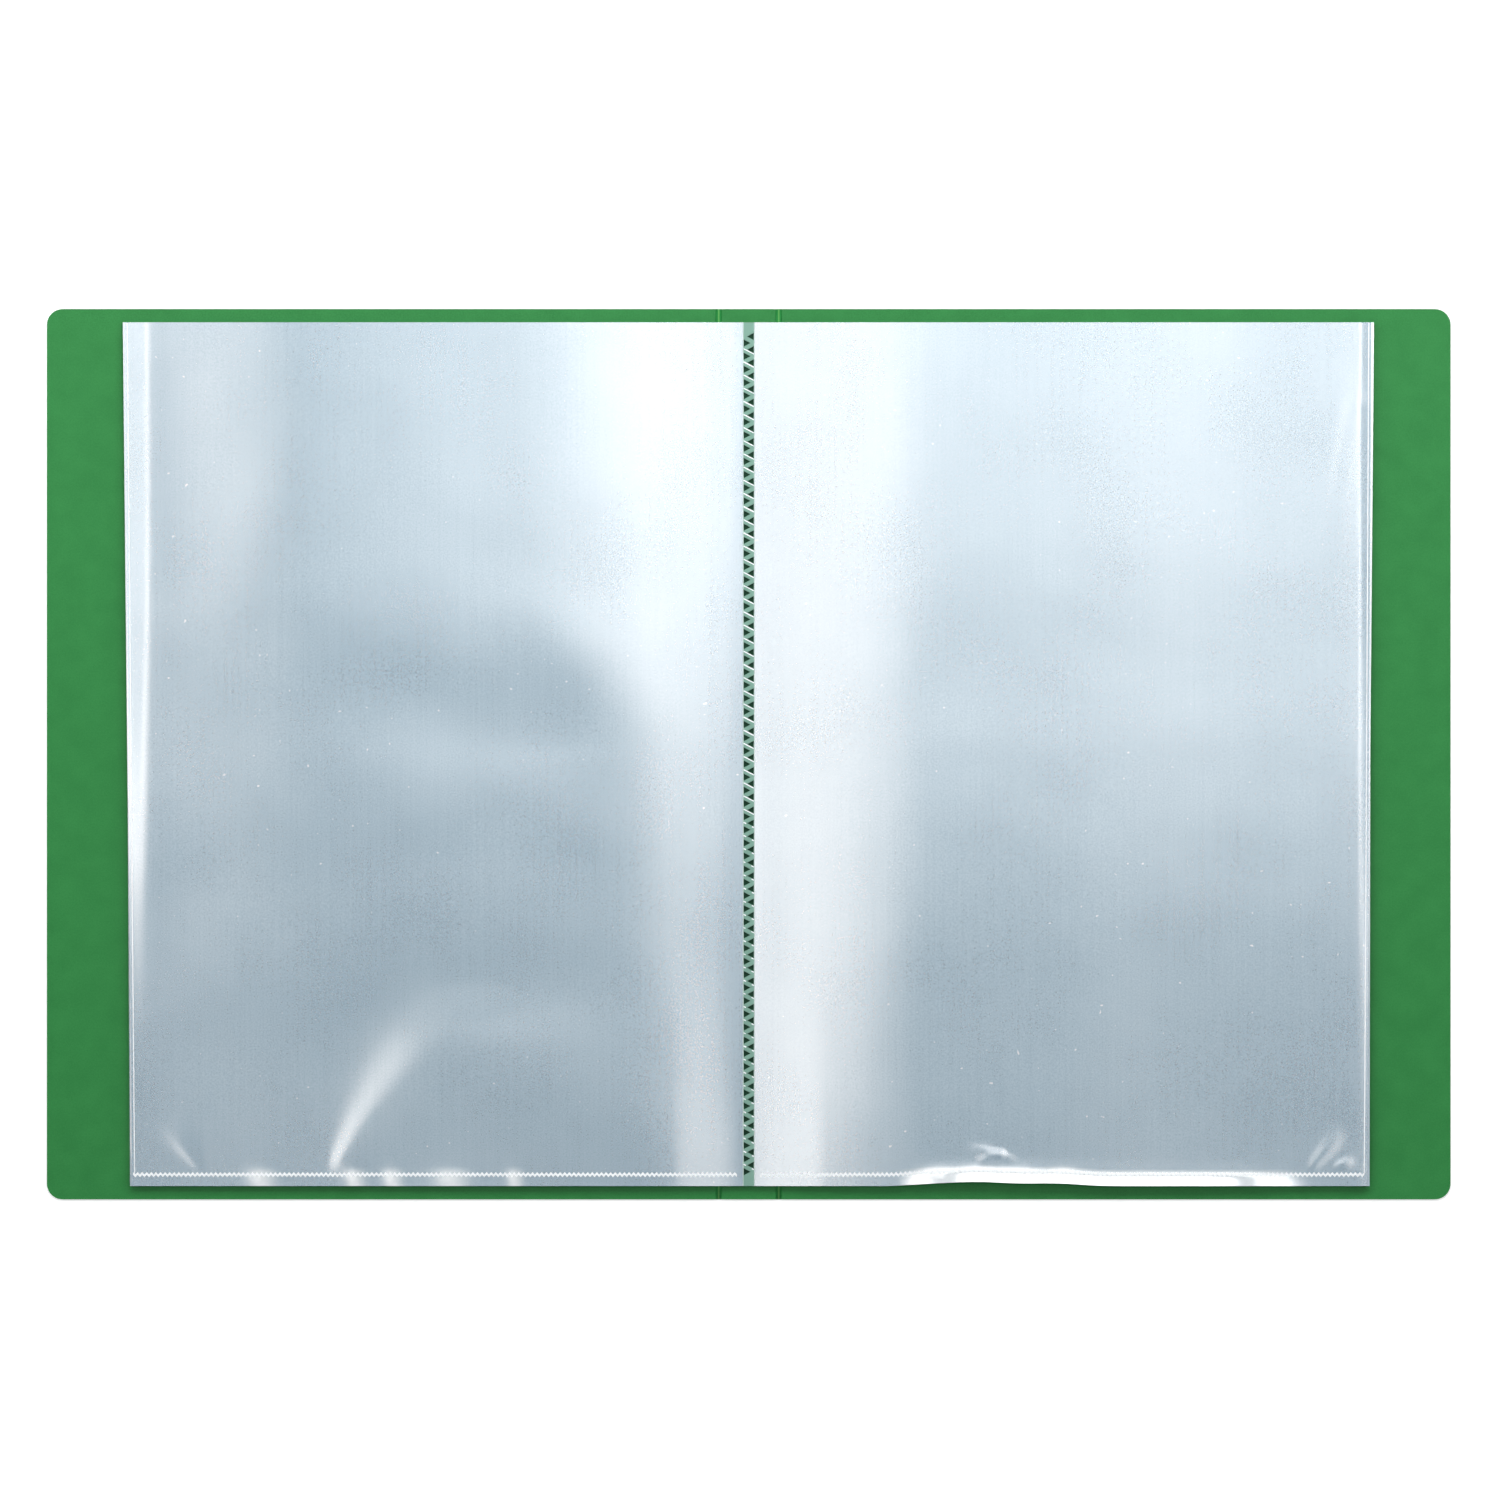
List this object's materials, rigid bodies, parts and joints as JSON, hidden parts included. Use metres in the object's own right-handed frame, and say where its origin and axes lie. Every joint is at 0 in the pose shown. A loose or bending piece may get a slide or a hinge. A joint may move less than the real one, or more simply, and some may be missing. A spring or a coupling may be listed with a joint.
{
  "type": "display book",
  "caption": "Open A4 display book: creased green plastic cover with clear film pockets held to the spine by one patterned weld.",
  "frame": {"origin": "centre of the spine's underside, on the surface that the open book lies on", "axes": "+X across the open book towards the back cover, +Y up the page towards the pocket mouths, +Z out of the page"},
  "size_m": [0.491, 0.3114, 0.003],
  "materials": {
    "cover": "fine sand-grain polypropylene",
    "film": "clear hazy film",
    "weld": "pressed and melted film"
  },
  "bodies": {
    "spine": {"spine_panel": "cover", "spine_weld": "weld", "front_crease": "cover", "back_crease": "cover"},
    "front_cover": {"front_cover_panel": "cover"},
    "left_pocket_10": {"left_pocket_10_front_film": "film", "left_pocket_10_back_film": "film"},
    "left_pocket_09": {"left_pocket_09_front_film": "film", "left_pocket_09_back_film": "film"},
    "left_pocket_08": {"left_pocket_08_front_film": "film", "left_pocket_08_back_film": "film"},
    "left_pocket_07": {"left_pocket_07_front_film": "film", "left_pocket_07_back_film": "film"},
    "left_pocket_06": {"left_pocket_06_front_film": "film", "left_pocket_06_back_film": "film"},
    "left_pocket_05": {"left_pocket_05_front_film": "film", "left_pocket_05_back_film": "film"},
    "left_pocket_04": {"left_pocket_04_front_film": "film", "left_pocket_04_back_film": "film"},
    "left_pocket_03": {"left_pocket_03_front_film": "film", "left_pocket_03_back_film": "film"},
    "left_pocket_02": {"left_pocket_02_front_film": "film", "left_pocket_02_back_film": "film"},
    "left_pocket_01": {"left_pocket_01_front_film": "film", "left_pocket_01_back_film": "film"},
    "back_cover": {"back_cover_panel": "cover"},
    "right_pocket_10": {"right_pocket_10_front_film": "film", "right_pocket_10_back_film": "film"},
    "right_pocket_09": {"right_pocket_09_front_film": "film", "right_pocket_09_back_film": "film"},
    "right_pocket_08": {"right_pocket_08_front_film": "film", "right_pocket_08_back_film": "film"},
    "right_pocket_07": {"right_pocket_07_front_film": "film", "right_pocket_07_back_film": "film"},
    "right_pocket_06": {"right_pocket_06_front_film": "film", "right_pocket_06_back_film": "film"},
    "right_pocket_05": {"right_pocket_05_front_film": "film", "right_pocket_05_back_film": "film"},
    "right_pocket_04": {"right_pocket_04_front_film": "film", "right_pocket_04_back_film": "film"},
    "right_pocket_03": {"right_pocket_03_front_film": "film", "right_pocket_03_back_film": "film"},
    "right_pocket_02": {"right_pocket_02_front_film": "film", "right_pocket_02_back_film": "film"},
    "right_pocket_01": {"right_pocket_01_front_film": "film", "right_pocket_01_back_film": "film"}
  },
  "joints": [
    {"name": "front_cover_fold", "type": "hinge", "parent": "spine", "child": "front_cover", "pos_m": [-0.0105, 0, 0.00013], "axis": [0, -1, 0], "range_deg": [-90, 0], "deforming": ["front_crease"]},
    {"name": "left_pocket_10_turn", "type": "hinge", "parent": "spine", "child": "left_pocket_10", "pos_m": [-0.0021, 0, 0.003], "axis": [0, -1, 0], "range_deg": [-90, 0]},
    {"name": "left_pocket_09_turn", "type": "hinge", "parent": "spine", "child": "left_pocket_09", "pos_m": [-0.0021, 0, 0.003], "axis": [0, -1, 0], "range_deg": [-90, 0]},
    {"name": "left_pocket_08_turn", "type": "hinge", "parent": "spine", "child": "left_pocket_08", "pos_m": [-0.0021, 0, 0.003], "axis": [0, -1, 0], "range_deg": [-90, 0]},
    {"name": "left_pocket_07_turn", "type": "hinge", "parent": "spine", "child": "left_pocket_07", "pos_m": [-0.0021, 0, 0.003], "axis": [0, -1, 0], "range_deg": [-90, 0]},
    {"name": "left_pocket_06_turn", "type": "hinge", "parent": "spine", "child": "left_pocket_06", "pos_m": [-0.0021, 0, 0.003], "axis": [0, -1, 0], "range_deg": [-90, 0]},
    {"name": "left_pocket_05_turn", "type": "hinge", "parent": "spine", "child": "left_pocket_05", "pos_m": [-0.0021, 0, 0.003], "axis": [0, -1, 0], "range_deg": [-90, 0]},
    {"name": "left_pocket_04_turn", "type": "hinge", "parent": "spine", "child": "left_pocket_04", "pos_m": [-0.0021, 0, 0.003], "axis": [0, -1, 0], "range_deg": [-90, 0]},
    {"name": "left_pocket_03_turn", "type": "hinge", "parent": "spine", "child": "left_pocket_03", "pos_m": [-0.0021, 0, 0.003], "axis": [0, -1, 0], "range_deg": [-90, 0]},
    {"name": "left_pocket_02_turn", "type": "hinge", "parent": "left_pocket_03", "child": "left_pocket_02", "pos_m": [-0.0021, 0, 0.003], "axis": [0, 1, 0], "range_deg": [0, 45]},
    {"name": "left_pocket_01_turn", "type": "hinge", "parent": "left_pocket_02", "child": "left_pocket_01", "pos_m": [-0.0021, 0, 0.003], "axis": [0, 1, 0], "range_deg": [0, 45]},
    {"name": "back_cover_fold", "type": "hinge", "parent": "spine", "child": "back_cover", "pos_m": [0.0105, 0, 0.00013], "axis": [0, 1, 0], "range_deg": [-90, 0], "deforming": ["back_crease"]},
    {"name": "right_pocket_10_turn", "type": "hinge", "parent": "spine", "child": "right_pocket_10", "pos_m": [0.0021, 0, 0.003], "axis": [0, 1, 0], "range_deg": [-90, 0]},
    {"name": "right_pocket_09_turn", "type": "hinge", "parent": "spine", "child": "right_pocket_09", "pos_m": [0.0021, 0, 0.003], "axis": [0, 1, 0], "range_deg": [-90, 0]},
    {"name": "right_pocket_08_turn", "type": "hinge", "parent": "spine", "child": "right_pocket_08", "pos_m": [0.0021, 0, 0.003], "axis": [0, 1, 0], "range_deg": [-90, 0]},
    {"name": "right_pocket_07_turn", "type": "hinge", "parent": "spine", "child": "right_pocket_07", "pos_m": [0.0021, 0, 0.003], "axis": [0, 1, 0], "range_deg": [-90, 0]},
    {"name": "right_pocket_06_turn", "type": "hinge", "parent": "spine", "child": "right_pocket_06", "pos_m": [0.0021, 0, 0.003], "axis": [0, 1, 0], "range_deg": [-90, 0]},
    {"name": "right_pocket_05_turn", "type": "hinge", "parent": "spine", "child": "right_pocket_05", "pos_m": [0.0021, 0, 0.003], "axis": [0, 1, 0], "range_deg": [-90, 0]},
    {"name": "right_pocket_04_turn", "type": "hinge", "parent": "spine", "child": "right_pocket_04", "pos_m": [0.0021, 0, 0.003], "axis": [0, 1, 0], "range_deg": [-90, 0]},
    {"name": "right_pocket_03_turn", "type": "hinge", "parent": "spine", "child": "right_pocket_03", "pos_m": [0.0021, 0, 0.003], "axis": [0, 1, 0], "range_deg": [-90, 0]},
    {"name": "right_pocket_02_turn", "type": "hinge", "parent": "right_pocket_03", "child": "right_pocket_02", "pos_m": [0.0021, 0, 0.003], "axis": [0, -1, 0], "range_deg": [0, 45]},
    {"name": "right_pocket_01_turn", "type": "hinge", "parent": "right_pocket_02", "child": "right_pocket_01", "pos_m": [0.0021, 0, 0.003], "axis": [0, -1, 0], "range_deg": [0, 45]}
  ],
  "couplings": [
    {"joint": "left_pocket_10_turn", "follows": "front_cover_fold", "ratio": 1},
    {"joint": "left_pocket_09_turn", "follows": "front_cover_fold", "ratio": 1},
    {"joint": "left_pocket_08_turn", "follows": "front_cover_fold", "ratio": 1},
    {"joint": "left_pocket_07_turn", "follows": "front_cover_fold", "ratio": 1},
    {"joint": "left_pocket_06_turn", "follows": "front_cover_fold", "ratio": 1},
    {"joint": "left_pocket_05_turn", "follows": "front_cover_fold", "ratio": 1},
    {"joint": "left_pocket_04_turn", "follows": "front_cover_fold", "ratio": 1},
    {"joint": "left_pocket_03_turn", "follows": "front_cover_fold", "ratio": 1},
    {"joint": "right_pocket_10_turn", "follows": "back_cover_fold", "ratio": 1},
    {"joint": "right_pocket_09_turn", "follows": "back_cover_fold", "ratio": 1},
    {"joint": "right_pocket_08_turn", "follows": "back_cover_fold", "ratio": 1},
    {"joint": "right_pocket_07_turn", "follows": "back_cover_fold", "ratio": 1},
    {"joint": "right_pocket_06_turn", "follows": "back_cover_fold", "ratio": 1},
    {"joint": "right_pocket_05_turn", "follows": "back_cover_fold", "ratio": 1},
    {"joint": "right_pocket_04_turn", "follows": "back_cover_fold", "ratio": 1},
    {"joint": "right_pocket_03_turn", "follows": "back_cover_fold", "ratio": 1}
  ]
}
